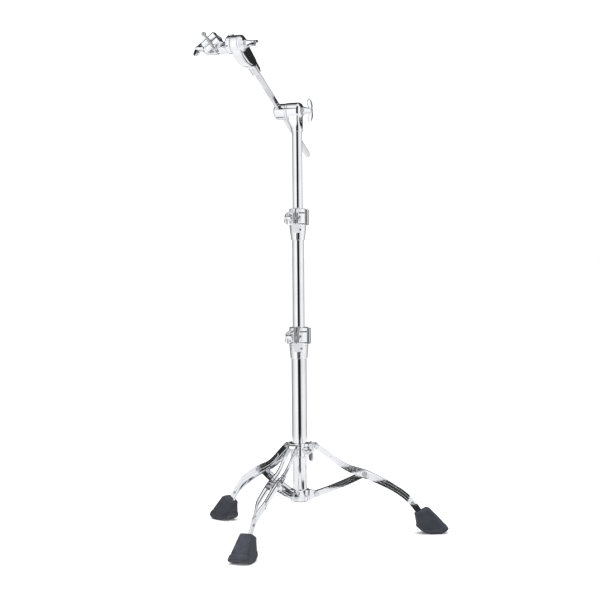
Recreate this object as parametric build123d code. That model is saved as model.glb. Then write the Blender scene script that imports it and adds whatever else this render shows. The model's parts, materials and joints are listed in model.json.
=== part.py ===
from build123d import *

import os
from math import acos, cos, degrees, hypot, radians, sin

# Cymbal boom stand. Millimetres, +Z up, origin on the floor under the column's axis.
# Leg 1 points along -Y, and the other two legs follow at 120 degree steps.
# The boom rises over leg 1, and its tilt axis and both head axes run along X.

# ---------------------------------------------------------------- driving dimensions
# column
BASE_R, BASE_BORE_R = 14.3, 12.85
MIDDLE_R, MIDDLE_BORE_R = 11.1, 9.75
UPPER_R, UPPER_BORE_R = 9.55, 8.35
BASE_BOTTOM, BASE_TOP = 72.0, 374.0
MIDDLE_BOTTOM, MIDDLE_TOP = 245.0, 600.0
UPPER_BOTTOM, UPPER_TOP = 430.0, 796.0
RUNNING = 0.08          # radial running clearance of a part that slides or turns
SEAT = 0.02             # radial clearance between two parts fixed together
FACE_GAP = 0.25         # gap between flat faces of two parts that turn against each other

# height clamps
CLAMP_HEIGHT = 60.0
LOWER_CLAMP_Z = BASE_TOP - 30.5
UPPER_CLAMP_Z = MIDDLE_TOP - 30.5
LOWER_CLAMP_R, LOWER_CLAMP_FOOT_R = 18.0, 16.0
UPPER_CLAMP_R, UPPER_CLAMP_FOOT_R = 16.0, 12.9
CLAMP_TURN = 14.0       # the clamps' lugs face this far round from leg 1 towards +X
BAND_LOW, BAND_HIGH = 30.8, 51.8
SLIT = 2.0
LUG_THICK, LUG_GAP, LUG_REACH = 5.4, 1.6, 14.0
CLAMP_BOLT_R, CLAMP_HEAD_R, CLAMP_COLLAR = 3.0, 5.6, 1.2
CLAMP_CONE_TOP = 25.0
CLAMP_WING_TURN = 38.0
CLAMP_SCREW_Z, CLAMP_SCREW_TURNS = 20.0, (-50, 26)
BOLT_INSET = 5.5                # from the lugs' front edge to the clamp bolt

# tripod: every leg is two pressed strips, and so is every brace
LEG_PIVOT = (31.0, 175.0)       # (radius, height)
BRACE_PIVOT = (31.0, 83.0)
KNEE = (124.0, 119.0)           # where the brace meets the leg
# centre line of a leg in (radius, height), and the strip's depth at each of its points
LEG_LINE = (
    LEG_PIVOT, (60, 153.5), (92, 131.5), KNEE, (158, 103.5), (190, 85), (214, 65), (231, 43), (240, 28),
)
LEG_DEPTH = (11, 11, 12.5, 16, 14.5, 13.5, 13, 12, 11)
RIB_POINTS = slice(1, 7)        # the stretch of the line that has the pressed rib
RIB_WIDTH = (4.6, 4.8, 5.6, 5.2, 4.8, 4.4)
RIB_WALL = 1.1                  # metal left each side of the rib's groove
BRACE_DEPTH = 11.0
BRACE_IN, BRACE_OUT = 4.2, 6.2  # lateral span of a brace strip
LEG_IN, LEG_OUT = 6.7, 8.9      # lateral span of a leg strip
RIB_RISE = 1.1
JOIN_FROM, JOIN_TO = 183.0, 210.0
LEG_EAR, BRACE_EAR = LEG_IN - 0.2, BRACE_IN - 0.2
PIVOT_R = 2.5
KNEE_FLAT_R, KNEE_HEAD_R = 7.5, 5.2
FOOT_RIVET_AT, FOOT_RIVET_R = (218.5, 59.5), 1.6
FOOT_FRONT, FOOT_BACK, FOOT_TOP = 288.5, 206.0, 51.0
FOOT_TAPER = 9.0
FOLD = 50.0                     # degrees that a leg turns to fold

# the two collars of the tripod
LEG_COLLAR = (156.0, 182.0)     # lower and upper rim
BRACE_COLLAR = (70.5, 93.0)
LINER_WALL = 1.0
WING_BOLT_Z, WING_BOLT_R, WING_BOLT_FACE = 169.0, 3.0, 27.0
WING_BOLT_TURN = -30.0          # half way between leg 1 and leg 2
GRUB_R, GRUB_HEX = 2.0, 2.0
BRACE_SCREW_Z = 81.0

# tilter
TILT_Z = 815.0
TILTER_STEM_Z, STEM_R = 776.0, 11.3
DRUM_R = 16.0
SHOULDER_Z = 797.0              # where the body's throat reaches its full width
BODY_LEFT, BODY_RIGHT = -16.0, 8.5
STEM_PIN_Z, STEM_PIN_R = TILTER_STEM_Z + 9.0, 2.0
WASHER_LEFT, WASHER_RIGHT = 12.3, 13.8
TILTER_WING_TURN = 6.0

# boom
ROD_X = -33.0
BOOM_ANGLE = 60.0               # from vertical
ROD_FLATS = 10.4
ROD_BACK, SOCKET_MOUTH, KNUCKLE_AT = 150.0, 129.0, 215.0
ROD_INSERT = 46.0
ROD_STOP = 4.0                  # length of the stop button behind the rod
AXLE_R = 4.0
SOCKET_PIN_AT, SOCKET_PIN_R = SOCKET_MOUTH + 17.0, 1.75

# head
KNUCKLE_R = 16.5
NECK_R, NECK_DROP = 10.5, 4.5
STUD_R = 3.5
CLAMPED_ROD_R = 6.35
CHANNEL_TILT = 38.0             # of the rod clamp's channel above X
JAW_HALF, JAW_DEPTH, JAW_SIDE = 15.0, 11.0, 10.5
JAW_SPLIT = 0.8                 # each jaw's distance from the split
JAW_HINGE_X, JAW_BOLT_X = 11.0, -11.0
JAW_PIN_R, JAW_BOLT_R, JAW_BALL_R = 1.6, 2.4, 4.2
JAW_PLAY = 3.4                  # room under the jaw bolt's head with its nut backed off
JAW_EAR = 8.5                   # length of each outer hinge knuckle
KNUCKLE_WING_TURN, SWIVEL_WING_TURN = -74.0, 50.0

BOOM_DIR = Vector(0, -sin(radians(BOOM_ANGLE)), cos(radians(BOOM_ANGLE)))
ROD_CENTRE = Vector(ROD_X, 0, TILT_Z)
KNUCKLE = ROD_CENTRE + BOOM_DIR * KNUCKLE_AT
BOOM_FRAME = Plane(origin=ROD_CENTRE, x_dir=(1, 0, 0), z_dir=BOOM_DIR)
CHANNEL_DIR = Vector(cos(radians(CHANNEL_TILT)), 0, sin(radians(CHANNEL_TILT)))
CHANNEL_CENTRE = KNUCKLE + Vector(-41.5, -24.0, 2.2)
# jaw frame: z along the channel, y away from the fixed jaw, x towards the hinge (+Y)
JAW_FRAME = Plane(origin=CHANNEL_CENTRE, x_dir=(0, 1, 0), z_dir=CHANNEL_DIR)
EAR_LEFT, EAR_RIGHT = KNUCKLE.X - 11.0, KNUCKLE.X + 9.0
NECK_END = KNUCKLE.X - 41.0
HUB_LEFT, HUB_RIGHT = NECK_END - 25.0, NECK_END - 0.35


# ---------------------------------------------------------------- helpers
def disc(radius, low, high):
    """Cylinder on Z from low to high."""
    return Pos(0, 0, low) * Cylinder(radius, high - low, align=(Align.CENTER, Align.CENTER, Align.MIN))


def taper(r_low, r_high, low, high):
    return Pos(0, 0, low) * Cone(r_low, r_high, high - low, align=(Align.CENTER, Align.CENTER, Align.MIN))


def ring(outer, inner, low, high):
    return disc(outer, low, high) - disc(inner, low - 1, high + 1)


def block(x0, x1, y0, y1, z0, z1):
    return Pos((x0 + x1) / 2, (y0 + y1) / 2, (z0 + z1) / 2) * Box(x1 - x0, y1 - y0, z1 - z0)


def eased(shape, amount, axis=Axis.Z):
    """The shape with the round rims of its two outermost flat faces chamfered."""
    faces = shape.faces().sort_by(axis)
    rims = [f.edges().sort_by(lambda e: e.length)[-1] for f in (faces[0], faces[-1])]
    return chamfer(rims, amount)


def x_disc(radius, low, high):
    """Cylinder on the X axis from low to high."""
    return Rot(0, 90, 0) * disc(radius, low, high)


def x_turned(profile):
    """Solid of revolution about X from (x, radius) points, closed along the axis."""
    points = [(profile[0][0], 0), *profile, (profile[-1][0], 0)]
    outline = Polyline(*points, close=True)
    return revolve(make_face(outline), Axis.X, 360)


def hex_bar(flats, low, high):
    """Hexagonal bar on Z with two flats facing X."""
    section = RegularPolygon(flats / 2, 6, major_radius=False, rotation=0)
    return Pos(0, 0, low) * extrude(section, high - low)


def hull_plate(circles, thick, plane=Plane.XZ):
    """Plate whose outline is the hull of circles given as (x, y, radius), centred on the plane."""
    edges = ShapeList()
    for x, y, radius in circles:
        edges += (Pos(x, y) * Circle(radius)).edges()
    return extrude(plane * make_hull(edges), thick / 2, both=True)


def on_leg(i, shape):
    """Turn a shape drawn with +X outwards to leg 1, 2 or 3."""
    return Rot(0, 0, -90 + 120 * (i - 1)) * shape


def save(name, *solids):
    """Write one node: each argument stays a separate solid."""
    loose = []
    for item in solids:
        loose += item.solids()
    node = loose[0] if len(loose) == 1 else Compound(children=loose)
    export_step(node, os.path.join("parts", name + ".step"))


# ---------------------------------------------------------------- fasteners
def wing_nut(hub_r, hub_h, span, lobe, thick, bore_r):
    """Cast wing nut standing on z = 0: a flared foot, a tapered hub and two rounded wings."""
    foot = taper(hub_r + 1.2, hub_r, 0, 2.5)
    hub = taper(hub_r, hub_r * 0.8, 2.5, hub_h)
    crown = taper(hub_r * 0.8, hub_r * 0.5, hub_h, hub_h + 1.5)
    out = span / 2 - lobe
    wing_z = hub_h - lobe * 0.35
    root_r = lobe * 0.62
    root_z = wing_z + lobe - root_r
    nut = foot + hub + crown
    for side in (1, -1):
        wing = hull_plate([(side * out, wing_z, lobe), (side * hub_r * 0.3, root_z, root_r)], thick)
        nut += fillet(wing.edges(), thick * 0.42)
    return nut - disc(bore_r, -1, hub_h + lobe + 5)


def wing_bolt(hub_r, hub_h, span, lobe, thick, shank_r, shank):
    """Wing nut with a threaded shank below z = 0, in one piece."""
    return wing_nut(hub_r, hub_h, span, lobe, thick, shank_r) + disc(shank_r, -shank, hub_h + 2.5)


def cross_hole(radius, place):
    """Hole along the leg's own cross direction at (radius, height)."""
    return Pos(place[0], 0, place[1]) * (Rot(90, 0, 0) * disc(radius, -20, 20))


def pivot_bolt(strip_out, centre):
    """Bolt across a bracket's ear and its two strips: dome head one side, hexagon nut the other."""
    face = strip_out + FACE_GAP
    shank = disc(PIVOT_R, -face - 4.2, face + 1.0)
    head = eased(disc(4.6, face, face + 2.8), 0.9)
    nut = Pos(0, 0, -face - 3.2) * extrude(RegularPolygon(4.0, 6, major_radius=False), 3.2)
    bolt = shank + head + nut
    return Pos(centre[0], 0, centre[1]) * (Rot(90, 0, 0) * bolt)


# ---------------------------------------------------------------- height clamps
def clamp_place(base_z):
    return Pos(0, 0, base_z) * Rot(0, 0, CLAMP_TURN)


def clamp_bolt_centre(top_r):
    """Middle of the clamp bolt, drawn with the lugs along -Y."""
    return -(top_r + LUG_REACH - BOLT_INSET), (BAND_LOW + BAND_HIGH) / 2


def clamp_shell(top_r, foot_r, bore_r):
    """Cone foot, straight head with chamfered rim, and the through bore."""
    body = taper(foot_r, top_r, 0, CLAMP_CONE_TOP)
    body += eased(disc(top_r, CLAMP_CONE_TOP, CLAMP_HEIGHT), 0.8)
    return chamfer(body.edges().sort_by(Axis.Z)[0], 0.6) - disc(bore_r, -1, CLAMP_HEIGHT + 1)


def clamp_slits(top_r):
    """Two level slits round three quarters of the head, which free the band between them."""
    spine = block(-top_r * 0.7, top_r * 0.7, top_r * 0.45, top_r + 1, 0, CLAMP_HEIGHT)
    cuts = None
    for z in (BAND_LOW, BAND_HIGH):
        cut = disc(top_r + 1, z - SLIT / 2, z + SLIT / 2) - spine
        cuts = cut if cuts is None else cuts + cut
    return cuts


def clamp_keel(top_r):
    """Both lugs in one keel: side outline from above the rim down to the cone."""
    outline = Polyline(
        (-top_r + 1.5, CLAMP_HEIGHT + 1.5),
        (-top_r - 3.0, CLAMP_HEIGHT + 1.5),
        (-top_r - LUG_REACH, BAND_HIGH + 0.5),
        (-top_r - LUG_REACH, BAND_LOW + 1.0),
        (-top_r - 1.0, 14.0),
        (-top_r + 1.5, 14.0),
        close=True,
    )
    keel = extrude(Plane.YZ * make_face(outline), LUG_THICK + LUG_GAP / 2, both=True)
    front = keel.edges().filter_by(Axis.X, reverse=True).group_by(Axis.Y)[0]
    return fillet(front, 1.6)


def clamp_body(top_r, foot_r, bore_r):
    bolt_y, bolt_z = clamp_bolt_centre(top_r)
    body = clamp_shell(top_r, foot_r, bore_r) - clamp_slits(top_r)
    body += clamp_keel(top_r) - disc(bore_r, 0, CLAMP_HEIGHT + 5)
    boss = block(top_r - 2.5, top_r + 4.6, -6.5, 6.5, BAND_LOW - 2.5, CLAMP_HEIGHT - 1.5)
    boss = fillet(boss.edges().group_by(Axis.X)[-1], 1.8) - disc(bore_r + 1.5, 0, CLAMP_HEIGHT + 5)
    body += boss
    body -= block(-LUG_GAP / 2, LUG_GAP / 2, -top_r - 30, -bore_r / 2, BAND_LOW - 0.5, CLAMP_HEIGHT + 5)
    body -= block(-0.9, 0.9, -top_r - 2, -bore_r / 2, -1, 13.0)
    body -= Pos(0, bolt_y, bolt_z) * x_disc(CLAMP_BOLT_R + SEAT, -20, 20)
    for angle in CLAMP_SCREW_TURNS:
        body -= Rot(0, 0, angle) * clamp_screw_hole(bore_r)
    return body


def clamp_screw_hole(bore_r):
    return Pos(0, 0, CLAMP_SCREW_Z) * (Rot(90, 0, 0) * disc(GRUB_R + SEAT, bore_r - 1, bore_r + 12))


def clamp_screws(bore_r, wall):
    """Two grub screws in the cone that fix the clamp to its tube."""
    screws = []
    for angle in CLAMP_SCREW_TURNS:
        screw = disc(GRUB_R, bore_r + 0.05, bore_r + wall)
        screw -= hex_bar(GRUB_HEX, bore_r + wall - 1.2, bore_r + wall + 1)
        screws.append(Rot(0, 0, angle) * (Pos(0, 0, CLAMP_SCREW_Z) * (Rot(90, 0, 0) * screw)))
    return screws


def clamp_bolt(top_r):
    """Carriage bolt through both lugs, head at the right, thread to the left for the wing nut."""
    bolt_y, bolt_z = clamp_bolt_centre(top_r)
    face = LUG_GAP / 2 + LUG_THICK
    bolt = x_disc(CLAMP_BOLT_R, -face - 15.0, face)
    dome = [(face, CLAMP_HEAD_R), (face + 1.6, CLAMP_HEAD_R - 0.4), (face + 3.4, CLAMP_HEAD_R - 3.0)]
    bolt += x_turned(dome)
    bolt += x_disc(6.4, -face - CLAMP_COLLAR, -face)
    return Pos(0, bolt_y, bolt_z) * bolt


def clamp_wing(top_r):
    bolt_y, bolt_z = clamp_bolt_centre(top_r)
    face = LUG_GAP / 2 + LUG_THICK + CLAMP_COLLAR + FACE_GAP
    nut = wing_nut(5.2, 10.5, 27.0, 5.5, 3.2, CLAMP_BOLT_R + RUNNING)
    return Pos(-face, bolt_y, bolt_z) * (Rot(0, -90, 0) * (Rot(0, 0, CLAMP_WING_TURN) * nut))


def save_clamp(name, base_z, top_r, foot_r, tube_r, inner_r):
    """Every node of one height clamp, for a tube of tube_r that holds a tube of inner_r."""
    place = clamp_place(base_z)
    bore_r = tube_r + SEAT
    save(name + "_clamp_body", place * clamp_body(top_r, foot_r, bore_r))
    bushing = ring(tube_r, inner_r + RUNNING, 31.0, CLAMP_HEIGHT - 0.6)
    bushing -= block(-0.8, 0.8, -tube_r - 1, 0, 30, CLAMP_HEIGHT)
    save(name + "_clamp_bushing", place * bushing)
    save(name + "_clamp_screws", *[place * s for s in clamp_screws(bore_r, foot_r - bore_r - 0.2)])
    save(name + "_clamp_bolt", place * clamp_bolt(top_r))
    save(name + "_clamp_wing_nut", place * clamp_wing(top_r))


# ---------------------------------------------------------------- column
def save_column():
    save("base_tube", ring(BASE_R, BASE_BORE_R, BASE_BOTTOM, BASE_TOP))
    plug = disc(BASE_BORE_R - SEAT, BASE_BOTTOM, BASE_BOTTOM + 12)
    save("base_tube_plug", plug + disc(BASE_R, BASE_BOTTOM - 3, BASE_BOTTOM))
    save("middle_tube", ring(MIDDLE_R, MIDDLE_BORE_R, MIDDLE_BOTTOM, MIDDLE_TOP))
    save("middle_tube_guide", guide_plug(MIDDLE_BOTTOM, BASE_BORE_R, MIDDLE_BORE_R))
    pin_hole = Pos(0, 0, STEM_PIN_Z) * x_disc(STEM_PIN_R + SEAT, -30, 30)
    save("upper_tube", ring(UPPER_R, UPPER_BORE_R, UPPER_BOTTOM, UPPER_TOP) - pin_hole)
    save("upper_tube_guide", guide_plug(UPPER_BOTTOM, MIDDLE_BORE_R, UPPER_BORE_R))


def guide_plug(tube_end, outer_bore, inner_bore):
    """Nylon guide in the lower end of a tube: its flange runs in the next tube's bore."""
    flange = disc(outer_bore - RUNNING, tube_end - 5 - FACE_GAP, tube_end - FACE_GAP)
    return flange + disc(inner_bore - RUNNING, tube_end - FACE_GAP, tube_end + 14)


# ---------------------------------------------------------------- tripod
def band_face(line, depths, first_round=True):
    """Side outline of a strip: a band about the line, in (radius, height), with a round inner end."""
    tops, bottoms = [], []
    for i, (r, z) in enumerate(line):
        before, after = line[max(i - 1, 0)], line[min(i + 1, len(line) - 1)]
        run, rise = after[0] - before[0], after[1] - before[1]
        size = hypot(run, rise)
        half = depths[i] / 2
        tops.append((r - rise / size * half, z + run / size * half))
        bottoms.append((r + rise / size * half, z - run / size * half))
    run, rise = line[1][0] - line[0][0], line[1][1] - line[0][1]
    reach = depths[0] / 2 / hypot(run, rise)
    nose = (line[0][0] - run * reach, line[0][1] - rise * reach)
    top = Spline(*tops) if len(tops) > 2 else Line(*tops)
    bottom = Spline(*bottoms) if len(bottoms) > 2 else Line(*bottoms)
    start = ThreePointArc(tops[0], nose, bottoms[0]) if first_round else Line(tops[0], bottoms[0])
    return make_face([top, Line(tops[-1], bottoms[-1]), bottom, start])


def upright(face, half):
    """Extrude an outline drawn in (radius, height) to both sides of the leg's own plane."""
    return extrude(Plane.XZ * face, half, both=True)


def strip_plan(inner, outer):
    """Plan of one leg strip: parallel to the leg's plane, then closing on its partner at the foot."""
    closed = LEG_IN - 0.1
    start, stop, bend = 15, 260, 28
    near = [(start, inner), (JOIN_FROM, inner), (JOIN_TO, inner - closed), (stop, inner - closed)]
    far = [(x, y + outer - inner) for x, y in near]
    sides = [*FilletPolyline(*near, radius=bend).edges(), *FilletPolyline(*far, radius=bend).edges()]
    return extrude(make_face([*sides, Line(near[0], far[0]), Line(near[-1], far[-1])]), 220)


def leg_strip():
    """One pressed strip at +Y of the leg's plane, with a hollow rib along its middle."""
    strip = upright(band_face(LEG_LINE, LEG_DEPTH), 20) & strip_plan(LEG_IN, LEG_OUT)
    rib = upright(band_face(LEG_LINE[RIB_POINTS], RIB_WIDTH), 20)
    groove = upright(band_face(LEG_LINE[RIB_POINTS], [w - 2 * RIB_WALL for w in RIB_WIDTH]), 20)
    keep_off = knee_boss_zone()
    strip += (rib & strip_plan(LEG_OUT - 0.1, LEG_OUT + RIB_RISE)) - keep_off
    strip -= (groove & strip_plan(LEG_IN - 1.0, LEG_IN + RIB_RISE)) - keep_off
    strip -= cross_hole(PIVOT_R + RUNNING, LEG_PIVOT) + cross_hole(PIVOT_R + SEAT, KNEE)
    return strip - cross_hole(FOOT_RIVET_R, FOOT_RIVET_AT)


def knee_boss_zone():
    """Flat round field left about the knee's rivet."""
    return cross_hole(KNEE_FLAT_R, KNEE)


def leg_rivets():
    """The two knee rivets, one in each strip, and the rivet that closes the strips at the foot."""
    rivets = []
    for side in (1, -1):
        rivet = disc(PIVOT_R, LEG_IN, LEG_OUT) + eased(disc(KNEE_HEAD_R, LEG_OUT, LEG_OUT + 2.4), 1.0)
        turn = -90 if side == 1 else 90
        rivets.append(Pos(KNEE[0], 0, KNEE[1]) * (Rot(turn, 0, 0) * rivet))
    outer = LEG_OUT - LEG_IN + 0.1
    head_r, head = FOOT_RIVET_R + 1.3, 1.3
    small = disc(FOOT_RIVET_R, -outer, outer)
    small += disc(head_r, outer, outer + head) + disc(head_r, -outer - head, -outer)
    rivets.append(Pos(FOOT_RIVET_AT[0], 0, FOOT_RIVET_AT[1]) * (Rot(90, 0, 0) * small))
    return rivets


def brace_line():
    """From the bracket's pivot to the knee, bowed down a little at the middle."""
    middle = ((BRACE_PIVOT[0] + KNEE[0]) / 2, (BRACE_PIVOT[1] + KNEE[1]) / 2 - 2.0)
    return (BRACE_PIVOT, middle, KNEE)


def brace_strip():
    """One brace strip at +Y of the leg's plane, round at both ends, with a rib between its pivots."""
    inward = band_face(brace_line(), [BRACE_DEPTH] * 3)
    strip = extrude(Plane.XZ * inward, -BRACE_OUT) - extrude(Plane.XZ * inward, -BRACE_IN)
    eye = Pos(KNEE[0], 0, KNEE[1]) * (Rot(-90, 0, 0) * disc(BRACE_DEPTH / 2, BRACE_IN, BRACE_OUT))
    strip += eye
    return strip - cross_hole(PIVOT_R + RUNNING, BRACE_PIVOT) - cross_hole(PIVOT_R + SEAT, KNEE)


def brace_rib():
    """Rib pressed outwards from the brace strip between its two pivots."""
    ends = brace_line()
    start = [a + (b - a) * 0.22 for a, b in zip(ends[0], ends[2])]
    stop = [a + (b - a) * 0.70 for a, b in zip(ends[0], ends[2])]
    middle = ((start[0] + stop[0]) / 2, (start[1] + stop[1]) / 2 - 2.0)
    face = band_face((tuple(start), middle, tuple(stop)), [4.0] * 3)
    return extrude(Plane.XZ * face, -BRACE_OUT - 0.9) - extrude(Plane.XZ * face, -BRACE_OUT + 0.1)


def brace_spacer():
    """Spacer tube between the two brace strips at the knee, riveted over through both."""
    spacer = disc(4.4, -BRACE_IN, BRACE_IN) + disc(PIVOT_R, -BRACE_OUT, BRACE_OUT)
    return Pos(KNEE[0], 0, KNEE[1]) * (Rot(90, 0, 0) * spacer)


def mirrored(shape):
    return mirror(shape, Plane.XZ)


def foot():
    """Rubber foot: sloping toe face, bulging heel, wider toe than heel, and a proud sole."""
    side = Polyline(
        (238, FOOT_TOP), (225.5, 40), (224.5, 26), (233, 0), (280, 0), (287, 7), (286, 15), (251.5, 49.5),
        close=True,
    )
    side_face = fillet(make_face(side).vertices(), 2.2)
    half_back, half_front = 13.0, 21.5
    plan = make_face(Polyline(
        (FOOT_BACK, -half_back), (FOOT_FRONT, -half_front), (FOOT_FRONT, half_front), (FOOT_BACK, half_back),
        close=True,
    ))
    plan = fillet(plan.vertices().group_by(Axis.X)[-1], 7)
    body = upright(side_face, 30) & extrude(plan, FOOT_TOP + 5, taper=FOOT_TAPER)
    body = fillet(body.edges().filter_by(lambda e: e.length > 18), 1.6)
    sole_outline = Polyline((231.2, 0), (281, 0), (288, 7), (288, 9), (227.6, 9), close=True)
    sole_side = fillet(make_face(sole_outline).vertices(), 1.2)
    sole = upright(sole_side, 30) & extrude(offset(plan, 0.9), 12, taper=FOOT_TAPER)
    pocket = upright(band_face(LEG_LINE, [d + 0.6 for d in LEG_DEPTH]), LEG_OUT - LEG_IN + 0.3)
    return (body + sole) - pocket


def collar_ear(pivot, pivot_r, top_z, low_z, half):
    """Ear of a collar: from its root on the collar's wall out to the pivot."""
    return hull_plate([(*pivot, pivot_r), (17, top_z, 4.6), (17, low_z, 4.0)], 2 * half)


def at_wing_bolt(shape):
    """Place a shape drawn on the X axis onto the axis of the collar's wing bolt."""
    return Rot(0, 0, WING_BOLT_TURN) * (Pos(0, 0, WING_BOLT_Z) * shape)


def leg_bracket():
    """Sliding collar with an ear for each leg and a boss for its wing bolt."""
    low, high = LEG_COLLAR
    body = eased(disc(19.5, low, high), 1.0)
    for i in (1, 2, 3):
        body += on_leg(i, collar_ear(LEG_PIVOT, 6.2, high - 7, low + 6, LEG_EAR))
    body += at_wing_bolt(x_turned([(15, 8.0), (24, 7.4), (WING_BOLT_FACE, 6.2)]))
    body -= disc(BASE_R + RUNNING + LINER_WALL + SEAT, low - 1, high + 1)
    for i in (1, 2, 3):
        body -= on_leg(i, cross_hole(PIVOT_R + SEAT, LEG_PIVOT))
    return body - at_wing_bolt(x_disc(WING_BOLT_R + RUNNING, 10, 40))


def leg_bracket_liner():
    """Nylon liner of the sliding collar: the wing bolt presses on its outside."""
    low, high = LEG_COLLAR
    return ring(BASE_R + RUNNING + LINER_WALL, BASE_R + RUNNING, low + 1, high - 1)


def leg_bracket_wing():
    """Wing bolt across the collar, wings upright."""
    seat = WING_BOLT_FACE + FACE_GAP
    bolt = wing_bolt(5.2, 11.0, 39.0, 7.0, 3.6, WING_BOLT_R, seat - 16.0)
    return at_wing_bolt(Pos(seat, 0, 0) * (Rot(0, 90, 0) * (Rot(0, 0, 180) * bolt)))


def brace_bracket():
    """Collar fixed at the foot of the column, with an ear for each brace."""
    low, high = BRACE_COLLAR
    body = eased(disc(18.5, low, high), 1.0)
    for i in (1, 2, 3):
        body += on_leg(i, collar_ear(BRACE_PIVOT, 5.6, high - 5.8, low + 5, BRACE_EAR))
    body -= disc(BASE_R + SEAT, low - 1, high + 1)
    for i in (1, 2, 3):
        body -= on_leg(i, cross_hole(PIVOT_R + SEAT, BRACE_PIVOT))
        body -= between_legs(i, x_disc(GRUB_R + SEAT, 10, 30))
    return body


def between_legs(i, shape):
    """Place a shape drawn on the X axis half way between two legs, at the brace collar's screws."""
    return Rot(0, 0, -30 + 120 * i) * (Pos(0, 0, BRACE_SCREW_Z) * shape)


def bracket_screws():
    """Three grub screws that fix the brace collar to the column."""
    screw = x_disc(GRUB_R, BASE_R + 0.05, 18.2) - Rot(0, 90, 0) * hex_bar(GRUB_HEX, 17.0, 20.0)
    return [between_legs(i, screw) for i in (1, 2, 3)]


def save_tripod():
    save("brace_bracket", brace_bracket())
    save("brace_bracket_screws", *bracket_screws())
    save("leg_bracket", leg_bracket())
    save("leg_bracket_liner", leg_bracket_liner())
    save("leg_bracket_wing_bolt", leg_bracket_wing())
    leg_bolt = pivot_bolt(LEG_OUT, LEG_PIVOT)
    brace_bolt = pivot_bolt(BRACE_OUT, BRACE_PIVOT)
    save("leg_pivot_bolts", *[on_leg(i, leg_bolt) for i in (1, 2, 3)])
    save("brace_pivot_bolts", *[on_leg(i, brace_bolt) for i in (1, 2, 3)])
    strip, rivets, boot = leg_strip(), leg_rivets(), foot()
    brace = brace_strip() + brace_rib()
    spacer = brace_spacer()
    for i in (1, 2, 3):
        save(f"leg_{i}_strips", on_leg(i, strip), on_leg(i, mirrored(strip)))
        save(f"leg_{i}_rivets", *[on_leg(i, r) for r in rivets])
        save(f"leg_{i}_foot", on_leg(i, boot))
        save(f"brace_{i}_strips", on_leg(i, brace), on_leg(i, mirrored(brace)))
        save(f"brace_{i}_spacer", on_leg(i, spacer))


# ---------------------------------------------------------------- boom tilter
def tilter_body():
    """Casting on the upper tube: round stem that widens into the drum of the tilt axis."""
    stem = eased(disc(STEM_R, TILTER_STEM_Z, TILTER_STEM_Z + 6), 0.6)
    low = Pos(0, 0, TILTER_STEM_Z + 5.5) * Circle(STEM_R)
    shoulder = RectangleRounded(BODY_RIGHT - BODY_LEFT - 0.6, 2 * 12.8, 5)
    place = Pos((BODY_LEFT + BODY_RIGHT) / 2 + 0.4, 0, SHOULDER_Z)
    throat = loft([low, place * shoulder]) + extrude(place * shoulder, TILT_Z - SHOULDER_Z)
    dome = [
        (BODY_LEFT, DRUM_R - 0.8), (BODY_LEFT + 0.8, DRUM_R), (5.0, DRUM_R), (8.5, DRUM_R - 1.8),
        (11.0, DRUM_R - 5.4), (12.0, DRUM_R - 8.6),
    ]
    drum = Pos(0, 0, TILT_Z) * x_turned(dome)
    body = stem + throat + drum
    body -= disc(UPPER_R + SEAT, TILTER_STEM_Z - 1, UPPER_TOP + SEAT)
    body -= Pos(0, 0, TILT_Z) * x_disc(AXLE_R + RUNNING, -30, 30)
    return body - Pos(0, 0, STEM_PIN_Z) * x_disc(STEM_PIN_R + SEAT, -30, 30)


def tilter_pin():
    """Spring pin through the stem and the top of the upper tube."""
    return Pos(0, 0, STEM_PIN_Z) * (x_disc(STEM_PIN_R, -12.2, 11.8) - x_disc(1.1, -20, 20))


def boom_barrel():
    """Rod holder on the tilt axis: a drum with a hexagonal hole for the boom rod."""
    right = BODY_LEFT - 0.3
    outline = [
        (-43.5, 12.0), (-42.0, 14.2), (-39.5, 15.0), (right - 4.6, 15.0), (right - 3.4, 15.8), (right, 15.8),
    ]
    drum = Pos(0, 0, TILT_Z) * x_turned(outline)
    drum -= BOOM_FRAME * hex_bar(ROD_FLATS + 0.2, -40, 40)
    return drum - (Pos(0, 0, TILT_Z) * x_disc(AXLE_R + SEAT, ROD_X + 7, 20))


def tilter_axle():
    """Threaded axle fixed in the barrel, through the tilter body to the wing nut."""
    return Pos(0, 0, TILT_Z) * x_turned([(ROD_X + 7.2, AXLE_R), (27.0, AXLE_R), (28.0, AXLE_R - 1)])


def tilter_washer():
    return Pos(0, 0, TILT_Z) * (x_disc(8.2, WASHER_LEFT, WASHER_RIGHT) - x_disc(AXLE_R + RUNNING, 10, 20))


def tilter_wing():
    nut = wing_nut(6.0, 15.5, 45.0, 6.8, 3.6, AXLE_R + RUNNING)
    return Pos(WASHER_RIGHT + 0.3, 0, TILT_Z) * (Rot(0, 90, 0) * (Rot(0, 0, TILTER_WING_TURN) * nut))


def save_tilter():
    save("tilter_body", tilter_body())
    save("tilter_pin", tilter_pin())
    save("boom_barrel", boom_barrel())
    save("tilter_axle", tilter_axle())
    save("tilter_washer", tilter_washer())
    save("tilter_wing_nut", tilter_wing())


# ---------------------------------------------------------------- boom rod and its socket
def boom_rod():
    """Hexagonal rod with eased ends, drilled for the socket's cross pin."""
    rod = hex_bar(ROD_FLATS, -ROD_BACK, SOCKET_MOUTH + ROD_INSERT)
    rod = rod & taper_ends(-ROD_BACK, SOCKET_MOUTH + ROD_INSERT)
    return BOOM_FRAME * (rod - Pos(0, 0, SOCKET_PIN_AT) * x_disc(SOCKET_PIN_R + SEAT, -20, 20))


def taper_ends(low, high):
    """Round envelope that takes the corners off both ends of the hexagon."""
    corner = ROD_FLATS / 2 * 1.16
    body = disc(corner, low + 1.5, high - 1.5)
    return body + taper(corner - 1.2, corner, low, low + 1.5) + taper(corner, corner - 1.2, high - 1.5, high)


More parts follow.
